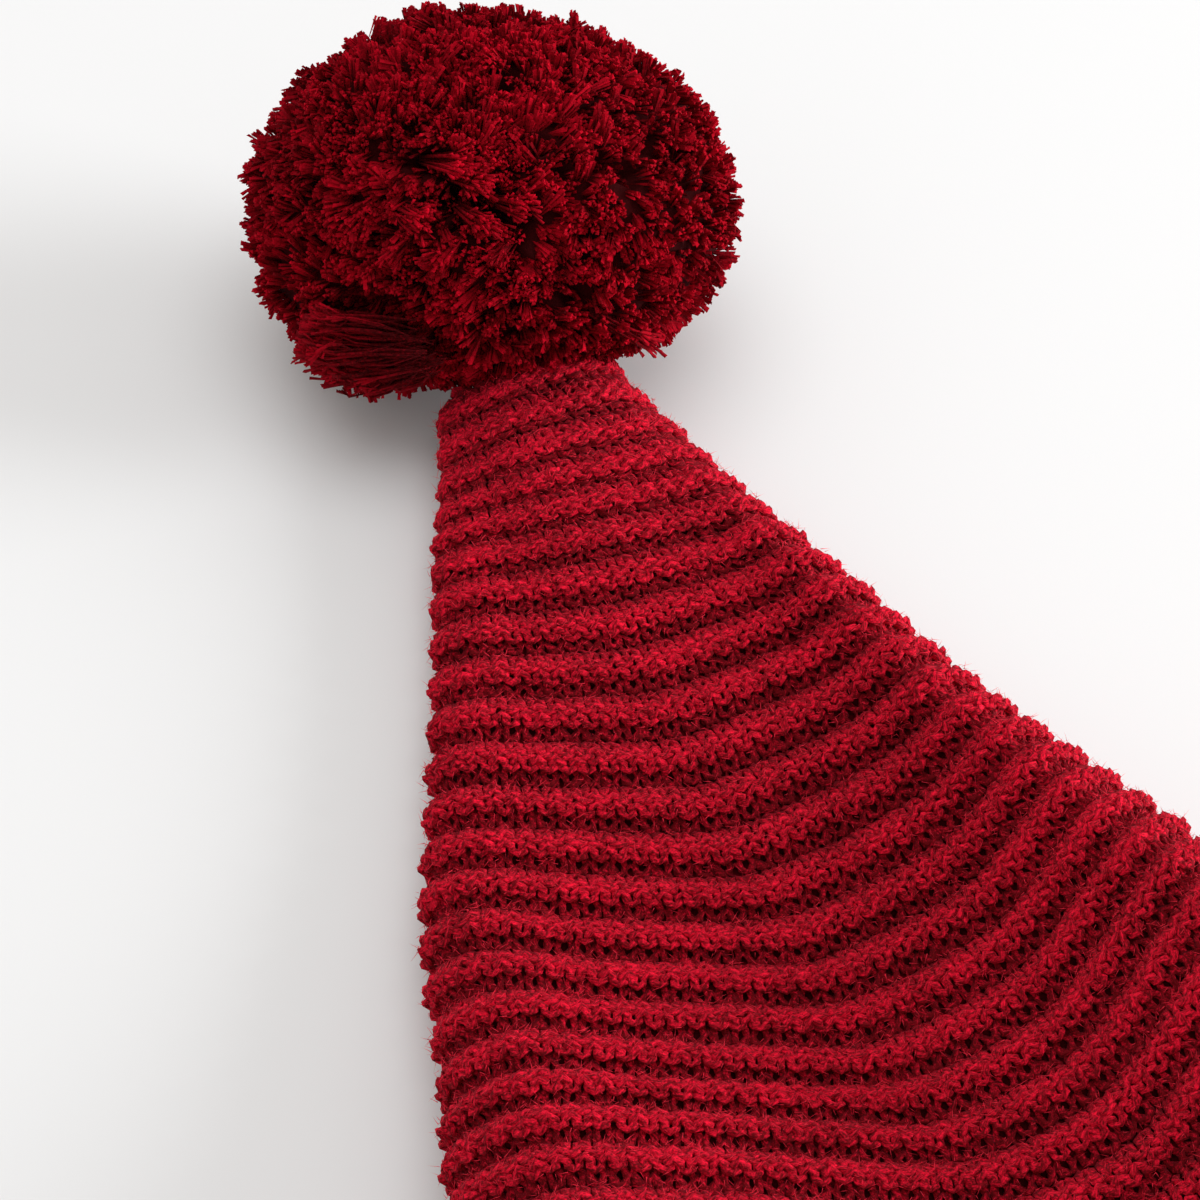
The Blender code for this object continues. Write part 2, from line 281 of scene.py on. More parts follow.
def table_at(rows, where):
    """The row of a table at a place between its rows, on a smooth curve through them."""
    rows = np.array(rows)
    at = rows[:, 0]
    steps = np.diff(at)
    rise = np.diff(rows, axis=0) / steps[:, None]
    inner = (rise[:-1] * steps[1:, None] + rise[1:] * steps[:-1, None]) / (at[2:] - at[:-2])[:, None]
    slopes = np.vstack([rise[:1], inner, rise[-1:]])
    i = int(np.clip(np.searchsorted(at, where) - 1, 0, len(at) - 2))
    t = (where - at[i]) / steps[i]
    return (
        rows[i] * (2 * t**3 - 3 * t**2 + 1)
        + slopes[i] * steps[i] * (t**3 - 2 * t**2 + t)
        + rows[i + 1] * (3 * t**2 - 2 * t**3)
        + slopes[i + 1] * steps[i] * (t**3 - t**2)
    )


def closed_curve(points, steps):
    """Points on a smooth closed curve through the given ones, with so many steps after each."""
    points = np.array(points)
    count = len(points)
    found = []
    for i, number in enumerate(steps):
        before, start, end, after = (points[(i + k) % count] for k in (-1, 0, 1, 2))
        a = np.hypot(*(start - before)) ** 0.5
        b = np.hypot(*(end - start)) ** 0.5
        c = np.hypot(*(after - end)) ** 0.5
        leave = b * ((start - before) / a - (end - before) / (a + b) + (end - start) / b)
        arrive = b * ((end - start) / b - (after - start) / (b + c) + (after - end) / c)
        t = np.arange(number)[:, None] / number
        found.append(
            start * (2 * t**3 - 3 * t**2 + 1)
            + leave * (t**3 - 2 * t**2 + t)
            + end * (3 * t**2 - 2 * t**3)
            + arrive * (t**3 - t**2)
        )
    return np.vstack(found)


def soft_step(distance):
    """A distance where it is positive and about nothing where it isn't, with a soft bend between."""
    return 0.5 * (distance + np.sqrt(distance**2 + CREASE_SOFT**2))


def gather_at(welt):
    """How far the last stitches are drawn together, 1 where they aren't."""
    past = max(0.0, (FIRST_WELT - welt) / GATHER_LENGTH)
    return float(np.sqrt(max(0.0, 1 - past**2)))


def ring(welt, inset, floor, columns):
    """One round of the bag drawn in by inset and resting at the height floor: even points, length."""
    s = dict(zip(SECTION_COLUMNS, table_at(SECTIONS, welt)))
    left = s["hump_left_z"] / 2
    s["fold_left_x"] -= float(np.interp(welt, *np.array(LEFT_OUT).T))
    right = s["fold_right_x"] - s["hump_right_x"]
    points = [
        (s["fold_left_x"] + left * 0.9 + inset * 0.5, floor),
        (s["fold_left_x"] + inset, s["fold_left_z"]),
        (s["fold_left_x"] + left * 0.85 + inset * 0.4, s["hump_left_z"] - inset),
        (s["middle_x"], s["middle_z"] - inset),
        (s["a_x"], s["a_z"] - inset),
        (s["b_x"], s["b_z"] - inset),
        (s["hump_right_x"] - inset * 0.4, s["hump_right_z"] - inset),
        (s["fold_right_x"] - inset, s["fold_right_z"]),
        (s["fold_right_x"] - right * 0.75 - inset * 0.5, floor),
    ]
    curve = closed_curve(points, [n * 8 for n in RING_STEPS])
    x = curve[:, 0]
    z = np.maximum(curve[:, 1], floor)
    share = np.clip((x - s["a_x"]) / (s["b_x"] - s["a_x"]), 0, 1)
    y = s["along_a"] + (s["along_b"] - s["along_a"]) * share
    y = y + s["sweep_left"] * soft_step(s["a_x"] - x) + s["sweep_right"] * soft_step(x - s["b_x"])
    found = np.column_stack([x, y, z])
    gather = gather_at(welt)
    centre = found.mean(axis=0)
    centre[1] = 0
    found = centre + (found - centre) * (gather, 1.0, gather)
    closed = np.vstack([found, found[:1]])
    run = np.concatenate([[0], np.cumsum(np.linalg.norm(np.diff(closed, axis=0), axis=1))])
    at = np.arange(columns) / columns * run[-1]
    return np.column_stack([np.interp(at, run, closed[:, k]) for k in range(3)]), run[-1]


def unit(vectors):
    """Vectors of length one along the given ones."""
    return vectors / np.maximum(np.linalg.norm(vectors, axis=-1, keepdims=True), 1e-9)


def normals_of(grid):
    """Outward normals of a grid of rounds, tip first, each running from the left over the top."""
    along = np.gradient(grid, axis=0)
    across = np.roll(grid, -1, axis=1) - np.roll(grid, 1, axis=1)
    return unit(np.cross(along, across))


def blur_columns(grid, reach):
    """A grid smoothed round its rounds."""
    total = grid.copy()
    for k in range(1, reach + 1):
        total += np.roll(grid, k, axis=1) + np.roll(grid, -k, axis=1)
    return total / (2 * reach + 1)


class Surface:
    """A grid of welted rounds that gives points and normals anywhere between them."""

    def __init__(self, inset):
        self.first = TIP_AT + 0.15
        self.welts = np.arange(self.first, LAST_WELT + 0.62, 1 / GRID_STEPS)
        rings = [ring(w, inset, inset, GRID_COLUMNS) for w in self.welts]
        self.grid = np.array([r[0] for r in rings])
        self.length = np.array([r[1] for r in rings])
        phase = self.welts - np.round(self.welts)
        share = ((1 - np.cos(2 * np.pi * phase)) / 2) ** VALLEY_SHARPNESS
        deep = share * np.interp(self.welts, *np.array(VALLEYS).T)
        out = unit(blur_columns(normals_of(self.grid), 3))
        toward_brim = unit(np.gradient(self.grid, axis=0))
        roll = WELT_ROLL * (1 - share)
        self.grid = self.grid - out * deep[:, None, None] + toward_brim * roll[:, None, None]
        self.normals = unit(blur_columns(normals_of(self.grid), 2))

    def at(self, across, welt):
        """Points and normals at shares of the way round and at welts."""
        i = np.clip((welt - self.first) * GRID_STEPS, 0, len(self.welts) - 1.001)
        j = (across % 1.0) * GRID_COLUMNS
        i0 = np.floor(i).astype(int)
        j0 = np.floor(j).astype(int) % GRID_COLUMNS
        j1 = (j0 + 1) % GRID_COLUMNS
        a = (i - i0)[:, None]
        b = (j - np.floor(j))[:, None]
        found = []
        for g in (self.grid, self.normals):
            before = g[i0, j0] * (1 - b) + g[i0, j1] * b
            after = g[i0 + 1, j0] * (1 - b) + g[i0 + 1, j1] * b
            found.append(before * (1 - a) + after * a)
        return found[0], unit(found[1])


# Meshes from arrays

def add_mesh(name, points, faces, maps=None, marks=None, smooth=True):
    """An object from points in the hat's millimetres and faces as arrays of three or four corners each.
    maps are UV maps with a value at each corner, marks are attributes with a value at each point."""
    mesh = bpy.data.meshes.new(name)
    points = (np.asarray(points) - SHIFT) * MM
    counts = np.concatenate([np.full(len(f), f.shape[1]) for f in faces])
    corners = np.concatenate([f.reshape(-1) for f in faces])
    mesh.vertices.add(len(points))
    mesh.vertices.foreach_set("co", points.astype(np.float32).reshape(-1))
    mesh.loops.add(len(corners))
    mesh.loops.foreach_set("vertex_index", corners.astype(np.int32))
    mesh.polygons.add(len(counts))
    starts = np.concatenate([[0], np.cumsum(counts)[:-1]])
    mesh.polygons.foreach_set("loop_start", starts.astype(np.int32))
    mesh.polygons.foreach_set("loop_total", counts.astype(np.int32))
    mesh.polygons.foreach_set("use_smooth", np.full(len(counts), smooth))
    for key, values in (maps or {}).items():
        layer = mesh.uv_layers.new(name=key)
        layer.data.foreach_set("uv", np.asarray(values, np.float32).reshape(-1))
    for key, values in (marks or {}).items():
        layer = mesh.attributes.new(key, "FLOAT", "POINT")
        layer.data.foreach_set("value", np.asarray(values, np.float32))
    mesh.update(calc_edges=True)
    mesh.validate()
    obj = bpy.data.objects.new(name, mesh)
    bpy.context.scene.collection.objects.link(obj)
    return obj


def tube_of_round(line, out, radius, sides, shade):
    """Points, faces, map and marks of a closed tube round a closed line, turned to the normals out."""
    count = len(line)
    ahead = unit(np.roll(line, -1, axis=0) - np.roll(line, 1, axis=0))
    beside = unit(np.cross(ahead, out))
    above = np.cross(beside, ahead)
    angle = 2 * np.pi * (np.arange(sides) + 0.5) / sides
    radius = np.broadcast_to(radius, (count,))
    points = (
        line[:, None, :]
        + radius[:, None, None] * np.cos(angle)[None, :, None] * beside[:, None, :]
        + radius[:, None, None] * np.sin(angle)[None, :, None] * above[:, None, :]
    ).reshape(-1, 3)
    i = np.repeat(np.arange(count), sides)
    j = np.tile(np.arange(sides), count)
    i1 = (i + 1) % count
    j1 = (j + 1) % sides
    faces = np.column_stack([i * sides + j, i * sides + j1, i1 * sides + j1, i1 * sides + j])
    step = np.linalg.norm(np.roll(line, -1, axis=0) - line, axis=1)
    run = np.concatenate([[0], np.cumsum(step)])
    u0, u1 = run[i], run[i + 1]
    v0, v1 = j / sides, (j + 1) / sides
    maps = np.stack([np.column_stack(c) for c in ((u0, v0), (u0, v1), (u1, v1), (u1, v0))], axis=1)
    return points, faces, maps, np.repeat(shade, sides, axis=0)


def join(parts):
    """Several (points, faces, maps, marks) as one."""
    offset = 0
    faces = []
    for points, quads, _, _ in parts:
        faces.append(quads + offset)
        offset += len(points)
    return (
        np.vstack([p[0] for p in parts]),
        np.vstack(faces),
        np.vstack([p[2] for p in parts]),
        np.concatenate([p[3] for p in parts]),
    )


# The knit

def smooth_steps(values, at):
    """Random values, one a stitch, read between the stitches of a closed round."""
    i = np.floor(at).astype(int)
    share = at - i
    share = share * share * (3 - 2 * share)
    return values[i % len(values)] * (1 - share) + values[(i + 1) % len(values)] * share


def knit_round(surface, number, stitches, purl, rng):
    """The yarn of one round of loops, a closed tube. number counts rounds, five a welt."""
    place = (number + 2) % WELT_ROUNDS
    numbers = np.arange(number - 3, number + 4)
    centres = np.array([(n + 2) // WELT_ROUNDS + ROUND_PLACES[(n + 2) % WELT_ROUNDS] for n in numbers])
    middle, out = surface.at((np.arange(stitches) + 0.5) / stitches, np.full(stitches, centres[3]))
    under = (out[:, 2] < -0.6) & (middle[:, 2] < 6)
    steps = np.where(under, UNDER_STEPS, PURL_STEPS if purl else KNIT_STEPS)
    at = np.concatenate([s + (np.arange(n) / n) for s, n in enumerate(steps)])
    t = (at % 1.0) * 2 * np.pi
    wide = smooth_steps(rng.normal(0, UNEVEN_WIDE[0], stitches), at) + rng.normal(0, UNEVEN_WIDE[1], len(at))
    tall = 1 + smooth_steps(rng.normal(0, UNEVEN_TALL, stitches), at)
    lift = smooth_steps(rng.normal(0, UNEVEN_LIFT[0], stitches), at) + rng.normal(0, UNEVEN_LIFT[1], len(at))
    lean = smooth_steps(rng.normal(0, UNEVEN_LEAN, stitches), at)
    across = (at + LOOP_SPREAD * np.sin(2 * t) + wide + lean * np.cos(t)) / stitches
    row = number + LOOP_REACH * tall * np.cos(t)
    where = np.interp(row, numbers, centres)
    base, normal = surface.at(across, where)
    depth = LOOP_DEPTHS[place] * np.cos(2 * t) * (1 if purl else -1) + lift
    line = base + normal * depth[:, None]
    uneven = smooth_steps(rng.normal(0, UNEVEN_THICK[0], stitches), at)
    uneven += rng.normal(0, UNEVEN_THICK[1], len(at))
    radius = YARN_RADIUS * FULLNESS[place] * np.clip(1 + uneven, 0.65, 1.4)
    line[:, 2] = np.maximum(line[:, 2], YARN_RADIUS * 0.8)
    # Painted shade: the mark deep darkens the yarn towards the middle of the valleys between welts
    phase = where - np.round(where)
    deep = ((1 - np.cos(2 * np.pi * phase)) / 2) ** 2
    shade = np.column_stack([smooth_steps(rng.normal(0, 1, stitches), at), deep])
    sides = PURL_SIDES if purl else KNIT_SIDES
    points, faces, maps, marks = tube_of_round(line, normal, radius, sides, shade)
    points[:, 2] = np.maximum(points[:, 2], YARN_LOWEST)
    return points, faces, maps, marks


def knit_crown(surface):
    """The yarn of all rounds, as pieces of a few welts each."""
    rng = np.random.RandomState(KNIT_SEED)
    pieces = []
    for name, first, last in CROWN_PIECES:
        parts = []
        for welt in range(first, last + 1):
            length = float(np.interp(max(welt, -2.9), surface.welts, surface.length))
            stitches = int(round(length / STITCH_WIDTH))
            for place in range(WELT_ROUNDS):
                number = welt * WELT_ROUNDS - 2 + place
                if welt == -3 and place < 3:
                    continue
                parts.append(knit_round(surface, number, stitches, place in PURL_ROUNDS, rng))
        pieces.append(("crown_knit_" + name, join(parts)))
    return pieces


def knit_fibres(surface, count):
    """Loose fibres that stand off the yarn, slivers with a point at one end."""
    rng = np.random.RandomState(FIBRE_SEED)
    welt = rng.uniform(-2.5, LAST_WELT + 0.5, count * 4)
    keep = rng.uniform(0, surface.length.max(), len(welt)) < np.interp(welt, surface.welts, surface.length)
    across = rng.uniform(0, 1, len(welt))
    base, out = surface.at(across, welt)
    phase = welt - np.round(welt)
    keep &= (out[:, 2] > -0.4) & (np.abs(phase) < 0.36)
    base, out = base[keep][:count], out[keep][:count]
    aim = unit(rng.normal(0, 1, base.shape))
    flat = aim - out * (aim * out).sum(axis=1)[:, None]
    aim = unit(flat + out * rng.uniform(0.0, 0.9, len(base))[:, None])
    length = rng.uniform(*FIBRE_LENGTHS, len(base))[:, None]
    start = base + out * rng.uniform(0.6, 1.0, len(base))[:, None]
    stop = start + aim * length
    for p in (start, stop):
        p[:, 2] = np.maximum(p[:, 2], 0.25)
    return wedges(stop, start, -aim, rng.uniform(*FIBRE_RADII, len(base)), rng)


def backing_of(outer, inner):
    """Points, quads and triangles of a closed hollow shell between two grids of rounds, shut at the tip."""
    columns = outer.shape[1]
    rows = np.concatenate([outer, inner[::-1]])
    count = len(rows)
    points = rows.reshape(-1, 3)
    i = np.repeat(np.arange(count - 1), columns)
    j = np.tile(np.arange(columns), count - 1)
    j1 = (j + 1) % columns
    here = i * columns
    quads = np.column_stack([here + j, here + j1, here + columns + j1, here + columns + j])
    tip = outer[0].mean(axis=0) + (0, 0.4, 0)
    end = inner[0].mean(axis=0) + (0, 0.4, 0)
    points = np.vstack([points, tip, end])
    j = np.arange(columns)
    j1 = (j + 1) % columns
    last = (count - 1) * columns
    tris = np.vstack(
        [
            np.column_stack([j1, j, np.full(columns, len(points) - 2)]),
            np.column_stack([last + j, last + j1, np.full(columns, len(points) - 1)]),
        ]
    )
    return points, quads, tris


def make_backing(surface):
    """What lies under the yarn: the deep side of the loops outside, and the inside of the hat."""
    step = 3
    columns = BACKING_COLUMNS
    pick = np.arange(0, len(surface.welts), step)
    across = np.tile(np.arange(columns) / columns, len(pick))
    welts = np.repeat(surface.welts[pick], columns)
    base, normal = surface.at(across, welts)
    outer = base - normal * BACKING_DEPTH
    outer[:, 2] = np.maximum(outer[:, 2], 0.5)
    inside = np.arange(-1.4, LAST_WELT + 0.55, 0.25)
    inner = np.array([ring(w, WALL + 0.3, WALL * 0.9, columns)[0] for w in inside])
    points, quads, tris = backing_of(outer.reshape(len(pick), columns, 3), inner)
    rows = np.concatenate([surface.welts[pick], inside[::-1]])
    return points, quads, tris, np.concatenate([np.repeat(rows, columns), [rows[0], rows[-1]]])


# The pompom

def ball_radius(directions):
    """How far the ball reaches, along its own sides."""
    reach = 1 / np.sqrt(((directions / BALL_HALF) ** 2).sum(axis=1))
    share = np.ones(len(directions))
    for row in SWELLINGS:
        s = dict(zip(SWELLING_COLUMNS, row))
        axis = unit(np.array((s["x"], s["y"], s["z"])))
        share += s["share"] * np.exp(-(1 - directions @ axis) / s["spread"] ** 2)
    return reach * share


def pile_top(directions):
    """How far the ends of the yarn reach."""
    reach = ball_radius(directions) - PILE_SHORT
    for across, down, rise, spread in RISES:
        reach += rise * np.exp(-(1 - directions @ seen_direction(across, down)) / spread**2)
    return reach


def ball_place(directions, reach):
    """Places in the hat's millimetres, so far from the ball's middle."""
    return BALL_CENTRE + (directions @ ball_turn().T) * reach[:, None]


def spread_directions(count, rng, loose):
    """Directions spread evenly over a ball, each moved a little."""
    k = np.arange(count) + 0.5
    z = 1 - 2 * k / count
    angle = np.pi * (1 + 5**0.5) * k
    flat = np.sqrt(1 - z * z)
    found = np.column_stack([np.cos(angle) * flat, np.sin(angle) * flat, z])
    return unit(found + rng.normal(0, loose, (count, 3)))


def ball_noise(directions, scale, seed):
    """A smooth random field on the ball, about -1 to 1."""
    rng = np.random.RandomState(seed)
    total = np.zeros(len(directions))
    for _ in range(10):
        wave = rng.normal(0, scale, 3)
        total += np.sin(directions @ wave + rng.uniform(0, 2 * np.pi))
    return total / 3.2


def camera_sides():
    """Right, up and back of the view, in the hat's directions."""
    back = unit(np.array(VIEW_BACK))
    right = unit(np.cross((0.0, 0.0, 1.0), back))
    return right, np.cross(back, right), back


def sight_line(across, down):
    """The eye and the direction in which it sees a place of its 1200 by 1200 frame."""
    right, up, back = camera_sides()
    eye = np.array(VIEW_TARGET) + back * VIEW_DISTANCE
    middle = FRAME_SIZE / 2
    aside = right * (across - middle) - up * (down - middle)
    return eye, unit(aside / FRAME_SIZE * VIEW_FILM - back * VIEW_LENS)


def seen_place(across, down, near):
    """The place on a line of sight so far nearer the eye than where the line passes the ball's middle."""
    eye, ray = sight_line(across, down)
    return eye + ray * ((BALL_CENTRE - eye) @ ray - near)


def seen_direction(across, down):
    """The direction on the ball that the view shows at a place of its frame."""
    eye, ray = sight_line(across, down)
    along = np.arange(VIEW_DISTANCE - 140, VIEW_DISTANCE + 40, 0.5)
    points = (eye + ray * along[:, None] - BALL_CENTRE) @ ball_turn()
    inside = np.linalg.norm(points, axis=1) < ball_radius(unit(points))
    if inside.any():
        return unit(points[np.argmax(inside)])
    return unit(points[np.argmin(np.linalg.norm(points, axis=1))])


def ball_turn():
    """How the ball's own sides lie in the hat's."""
    return np.array(
        ((np.cos(BALL_TURN), -np.sin(BALL_TURN), 0), (np.sin(BALL_TURN), np.cos(BALL_TURN), 0), (0, 0, 1))
    )


def parted(way):
    """What the partings do to the pile at directions on the ball: how far it sinks, its lean, how bare."""
    right, up, back = camera_sides()
    short = np.zeros(len(way))
    bare = np.zeros(len(way))
    lean = np.column_stack([ball_noise(way, 8.0, 30 + k) for k in range(3)]) * 0.035
    for scale, width, deep, seed in CRACKS:
        short += deep * np.exp(-((ball_noise(way, scale, seed) / width) ** 2))
    for row in PARTINGS:
        p = dict(zip(PARTING_COLUMNS, row))
        middle = seen_direction(p["across"], p["down"])
        aim = (right * p["comb_right"] - up * p["comb_down"]) @ ball_turn()
        off = way - middle
        long_way = unit(aim) if p["stretch"] > 1 else np.zeros(3)
        run = off @ long_way
        gone = off - run[:, None] * long_way
        far = np.sqrt((run / p["stretch"]) ** 2 + (gone**2).sum(axis=1)) / (p["size"] / BALL_MEAN)
        near = np.exp(-(far**4))
        short += near * p["deep"]
        lean += near[:, None] * aim + np.exp(-(far**2) / 3)[:, None] * unit(off) * p["open"]
        bare += near * p["bare"]
    return short, lean, bare


def make_pile():
    """Tufts of frayed yarn all over the ball, each some strands that widen to a blunt cut end."""
    rng = np.random.RandomState(PILE_SEED)
    way = spread_directions(TUFT_COUNT, rng, 0.014)
    short, lean, bare = parted(way)
    reach = pile_top(way) - short
    reach += ball_noise(way, 10.0, 5) * 0.5 + ball_noise(way, 26.0, 6) * 0.5 + rng.normal(0, 0.36, len(way))
    size = rng.uniform(*TUFT_SIZES, len(way))
    tilt = unit(way + lean + rng.normal(0, 0.05, way.shape))
    spread = (way, tilt, reach, size, bare, lean, short)
    way, tilt, reach, size, bare, lean, short = (np.repeat(v, CUT_ENDS, axis=0) for v in spread)
    count = len(way)
    beside = unit(np.cross(way, rng.normal(0, 1, (TUFT_COUNT, 3)).repeat(CUT_ENDS, axis=0)))
    above = np.cross(way, beside)
    angle = rng.uniform(0, 2 * np.pi, count)
    far = np.sqrt(rng.uniform(0, 1, count))
    off = (np.cos(angle)[:, None] * beside + np.sin(angle)[:, None] * above) * (far * size)[:, None]
    high = reach - 0.75 * far**2 * size + rng.normal(0, 0.22, count)
    turn = ball_turn().T
    root = BALL_CENTRE + (unit(way - lean * 0.3) * (high * (0.90 - bare))[:, None] + off * 0.45) @ turn
    top = BALL_CENTRE + (tilt * high[:, None] + off) @ turn
    root[:, 2] = np.maximum(root[:, 2], 1.5)
    top[:, 2] = np.maximum(top[:, 2], 0.7)
    facing = unit(unit(top - root) + rng.normal(0, 0.35, (count, 3)))
    points, tris = wedges(root, top, facing, rng.uniform(*CUT_RADII, count), rng)
    # Painted shade: cut ends are painted darker towards the edge of their tuft and down in the partings and
    # cracks, with a random tone on top
    lit = np.clip(1.0 - 0.35 * far**2 - 0.16 * short + rng.normal(0, 0.17, count), 0.05, 1.25)
    return points, tris, (lit[:, None] * np.array(CUT_LIT)).reshape(-1)


def wedges(root, top, facing, radius, rng):
    """Closed slivers, each a point at its root and a three-cornered cut at its top: points, triangles."""
    beside = unit(np.cross(facing, rng.normal(0, 1, facing.shape)))
    above = np.cross(facing, beside)
    turns = 2 * np.pi * np.arange(3) / 3
    corners = [top + radius[:, None] * (np.cos(a) * beside + np.sin(a) * above) for a in turns]
    points = np.stack([root] + corners, axis=1).reshape(-1, 3)
    pattern = np.array(((1, 2, 3), (0, 2, 1), (0, 3, 2), (0, 1, 3)))
    return points, (np.arange(len(root))[:, None, None] * 4 + pattern[None]).reshape(-1, 3)


def strands(roots, tips, bow, radius):
    """Closed three-sided strands, each bent along bow: points, quads, triangles."""
    rings = []
    ahead = unit(tips - roots)
    beside = unit(np.cross(ahead, bow))
    above = np.cross(ahead, beside)
    for share, thick in zip(STRAND_RINGS, STRAND_THICK):
        middle = roots + (tips - roots) * share + bow * (4 * share * (1 - share))
        for a in 2 * np.pi * np.arange(3) / 3:
            rings.append(middle + (radius * thick)[:, None] * (np.cos(a) * beside + np.sin(a) * above))
    points = np.stack(rings, axis=1).reshape(-1, 3)
    last = 3 * (len(STRAND_RINGS) - 1)
    tris = np.array(((2, 1, 0), (last, last + 1, last + 2)))
    quads = []
    for i in range(3):
        for j in range(3):
            k = (j + 1) % 3
            quads.append((3 * i + j, 3 * i + k, 3 * i + 3 + k, 3 * i + 3 + j))
    base = np.arange(len(roots))[:, None, None] * len(rings)
    return points, (base + np.array(quads)[None]).reshape(-1, 4), (base + tris[None]).reshape(-1, 3)


def make_bundles():
    """The long strands that lie combed aside at the partings and down the lower left of the ball."""
    rng = np.random.RandomState(STRAND_SEED)
    starts = []
    stops = []
    bows = []
    lit = []
    turn = ball_turn().T
    for row in BUNDLES:
        b = dict(zip(BUNDLE_COLUMNS, row))
        for _ in range(b["number"]):
            stray = rng.normal(0, b["spread"], 2)
            root = seen_direction(b["root_across"] + stray[0] * 0.4, b["root_down"] + stray[1] * 0.4)
            tip = seen_direction(b["tip_across"] + stray[0], b["tip_down"] + stray[1])
            inner = pile_top(root[None])[0] - b["root_deep"] + rng.uniform(-1.5, 1.0)
            outer = pile_top(tip[None])[0] - b["tip_deep"] + rng.uniform(-1.8, 0.6)
            starts.append(BALL_CENTRE + root @ turn * inner)
            stops.append(BALL_CENTRE + tip @ turn * outer)
            bows.append(unit(root + tip) @ turn * rng.uniform(0.1, 1.6) + rng.normal(0, 0.2, 3))
            lit.append(rng.uniform(0.45, 1.1))
    for row in FANS:
        f = dict(zip(FAN_COLUMNS, row))
        for _ in range(f["number"]):
            stray = rng.normal(0, f["spread"], 2)
            near = rng.normal(0, 2.5)
            loose = rng.normal(0, 7.0, 2)
            root = seen_place(f["root_across"] + loose[0], f["root_down"] + loose[1], f["root_near"] + near)
            tip = seen_place(f["tip_across"] + stray[0], f["tip_down"] + stray[1], f["tip_near"] + near)
            root = tip + (root - tip) * rng.uniform(0.2, 0.9)
            starts.append(root)
            stops.append(root + (tip - root) * rng.uniform(0.75, 1.06))
            bows.append(unit(root + tip - 2 * BALL_CENTRE) * rng.uniform(-0.6, 1.8) + rng.normal(0, 0.7, 3))
            # The fans' strands are painted darker than the bundles', as shade under the ball
            lit.append(rng.uniform(0.35, 0.95))
    starts = np.array(starts)
    stops = np.array(stops)
    for p in (starts, stops):
        p[:, 2] = np.maximum(p[:, 2], 1.2)
    lit = np.array(lit)
    bows = np.array(bows)
    points, quads, tris = strands(starts, stops, bows, rng.uniform(*STRAND_RADII, len(starts)))
    glow = (lit[:, None] * np.repeat(STRAND_LIT, 3)).reshape(-1)
    inner = np.repeat(starts + (stops - starts) * 0.68 + bows * 0.8, FRAYS, axis=0)
    outer = np.repeat(stops, FRAYS, axis=0) + rng.normal(0, 0.75, (len(stops) * FRAYS, 3))
    facing = unit(unit(outer - inner) + rng.normal(0, 0.3, inner.shape))
    frays, ends = wedges(inner, outer, facing, rng.uniform(*FRAY_RADII, len(inner)), rng)
    fray_glow = (np.repeat(lit, FRAYS)[:, None] * np.array(FRAY_LIT)).reshape(-1)
    tris = np.vstack([tris, ends + len(points)])
    points = np.vstack([points, frays])
    points[:, 2] = np.maximum(points[:, 2], 0.3)
    return points, quads, tris, np.concatenate([glow, fray_glow])


def make_core():
    """The thick of the pile, a ball that sinks in under the partings: points, triangles."""
    ball = bmesh.new()
    bmesh.ops.create_icosphere(ball, subdivisions=5, radius=1.0)
    around = unit(np.array([v.co for v in ball.verts]))
    short, _, _ = parted(around)
    rough = ball_noise(around, 40.0, 12) * 0.5
    place = ball_place(around, pile_top(around) - 2.6 - short * 1.25 + rough)
    place[:, 2] = np.maximum(place[:, 2], 1.0)
    tris = np.array([[v.index for v in f.verts] for f in ball.faces])
    ball.free()
    return place, tris


# Materials

class Value:
    """A socket of a material whose operators add Math nodes."""

    def __init__(self, paint, socket):
        self.paint = paint
        self.socket = socket

    def _with(self, operation, *others):
        return self.paint.value("ShaderNodeMath", {"operation": operation}, self, *others)

    def __add__(self, other):
        return self._with("ADD", other)

    def __sub__(self, other):
        return self._with("SUBTRACT", other)

    def __rsub__(self, other):
        return self.paint.value("ShaderNodeMath", {"operation": "SUBTRACT"}, other, self)

    def __mul__(self, other):
        return self._with("MULTIPLY", other)

    __radd__ = __add__
    __rmul__ = __mul__

    def sine(self):
        return self._with("SINE")

    def clamped(self):
        return self.paint.value("ShaderNodeClamp", {}, self)


class Paint:
    """A material under construction."""

    def __init__(self, name):
        self.material = bpy.data.materials.new(name)
        self.material.use_nodes = True
        self.tree = self.material.node_tree
        self.shader = self.tree.nodes["Principled BSDF"]

    def node(self, kind, settings, *values, **named):
        """A new node with its settings, its sockets fed in order and by name."""
        made = self.tree.nodes.new(kind)
        for key, value in settings.items():
            setattr(made, key, value)
        pairs = list(enumerate(values)) + [(k.replace("_", " "), v) for k, v in named.items()]
        for key, value in pairs:
            self.feed(made.inputs[key], value)
        return made

    def feed(self, socket, value):
        """Links a value to a socket, or sets the socket to it."""
        if isinstance(value, Value):
            self.tree.links.new(value.socket, socket)
        elif hasattr(value, "is_output"):
            self.tree.links.new(value, socket)
        elif isinstance(value, tuple) and len(value) == 3 and socket.type == "RGBA":
            socket.default_value = (*value, 1.0)
        else:
            socket.default_value = value

    def value(self, kind, settings, *values, out=0, **named):
        """One output of a new node."""
        return Value(self, self.node(kind, settings, *values, **named).outputs[out])

    def mix(self, factor, first, second):
        """The first colour where the factor is 0 and the second where it is 1."""
        made = self.node("ShaderNodeMix", {"data_type": "RGBA"})
        self.feed(made.inputs["Factor"], factor)
        start, end = [s for s in made.inputs if s.type == "RGBA"]
        self.feed(start, first)
        self.feed(end, second)
        return [s for s in made.outputs if s.type == "RGBA"][0]

    def set(self, **values):
        """Feeds the shader's own sockets by name."""
        for key, value in values.items():
            self.feed(self.shader.inputs[key.replace("_", " ")], value)


